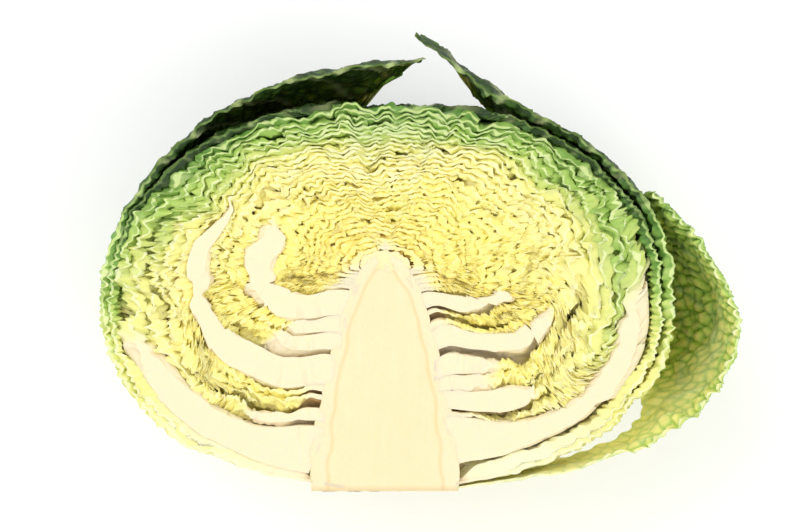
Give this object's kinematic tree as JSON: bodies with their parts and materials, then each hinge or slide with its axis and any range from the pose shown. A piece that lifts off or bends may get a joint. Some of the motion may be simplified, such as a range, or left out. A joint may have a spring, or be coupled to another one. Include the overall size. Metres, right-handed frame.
{
  "type": "savoy cabbage half",
  "caption": "Half of a savoy cabbage, cut from stem to tip and laid on its round back, with a solid stalk, nested crinkled leaves and a loose outer leaf.",
  "frame": {"origin": "middle of the bounding box in x and y, on the surface that the half rests on", "axes": "+Z out of the cut face, up; +Y along the stalk from its cut end towards the top of the head; +X towards the loose outer leaf"},
  "size_m": [0.2302, 0.163, 0.0919],
  "materials": {
    "stalk": "matte, moist cut pith",
    "heart_leaf": "satin, yellow",
    "pale_leaf": "satin, pale yellow green",
    "wrapper_leaf": "satin, light green",
    "outer_leaf": "satin, dark green, blistered"
  },
  "bodies": {
    "root": {"stalk": "stalk", "bud": "heart_leaf", "head_leaf_01": "wrapper_leaf", "head_leaf_02": "wrapper_leaf", "head_leaf_03": "wrapper_leaf", "head_leaf_04": "wrapper_leaf", "head_leaf_05": "wrapper_leaf", "head_leaf_06": "wrapper_leaf", "head_leaf_07": "wrapper_leaf", "head_leaf_08": "wrapper_leaf", "head_leaf_09": "wrapper_leaf", "head_leaf_10": "wrapper_leaf", "head_leaf_12": "wrapper_leaf", "head_leaf_13": "pale_leaf", "head_leaf_14": "pale_leaf", "head_leaf_15": "pale_leaf", "head_leaf_16": "pale_leaf", "head_leaf_17": "pale_leaf", "head_leaf_18": "pale_leaf", "head_leaf_19": "pale_leaf", "head_leaf_20": "pale_leaf", "head_leaf_21": "pale_leaf", "head_leaf_22": "pale_leaf", "head_leaf_23": "pale_leaf", "head_leaf_24": "pale_leaf", "head_leaf_25": "pale_leaf", "head_leaf_26": "pale_leaf", "head_leaf_27": "pale_leaf", "head_leaf_28": "heart_leaf", "head_leaf_29": "heart_leaf", "head_leaf_30": "heart_leaf", "head_leaf_31": "heart_leaf", "head_leaf_32": "heart_leaf", "head_leaf_33": "heart_leaf", "head_leaf_34": "heart_leaf", "head_leaf_35": "heart_leaf", "head_leaf_36": "heart_leaf", "head_leaf_37": "heart_leaf", "head_leaf_38": "heart_leaf", "head_leaf_39": "heart_leaf", "head_leaf_40": "heart_leaf", "head_leaf_41": "heart_leaf", "head_leaf_42": "heart_leaf", "head_leaf_43": "heart_leaf", "head_leaf_44": "heart_leaf", "outer_leaf_back": "outer_leaf", "outer_leaf_back_left": "outer_leaf", "outer_leaf_back_right": "outer_leaf", "outer_leaf_left": "outer_leaf", "outer_leaf_loose": "outer_leaf", "outer_leaf_top_right": "outer_leaf"}
  },
  "joints": []
}
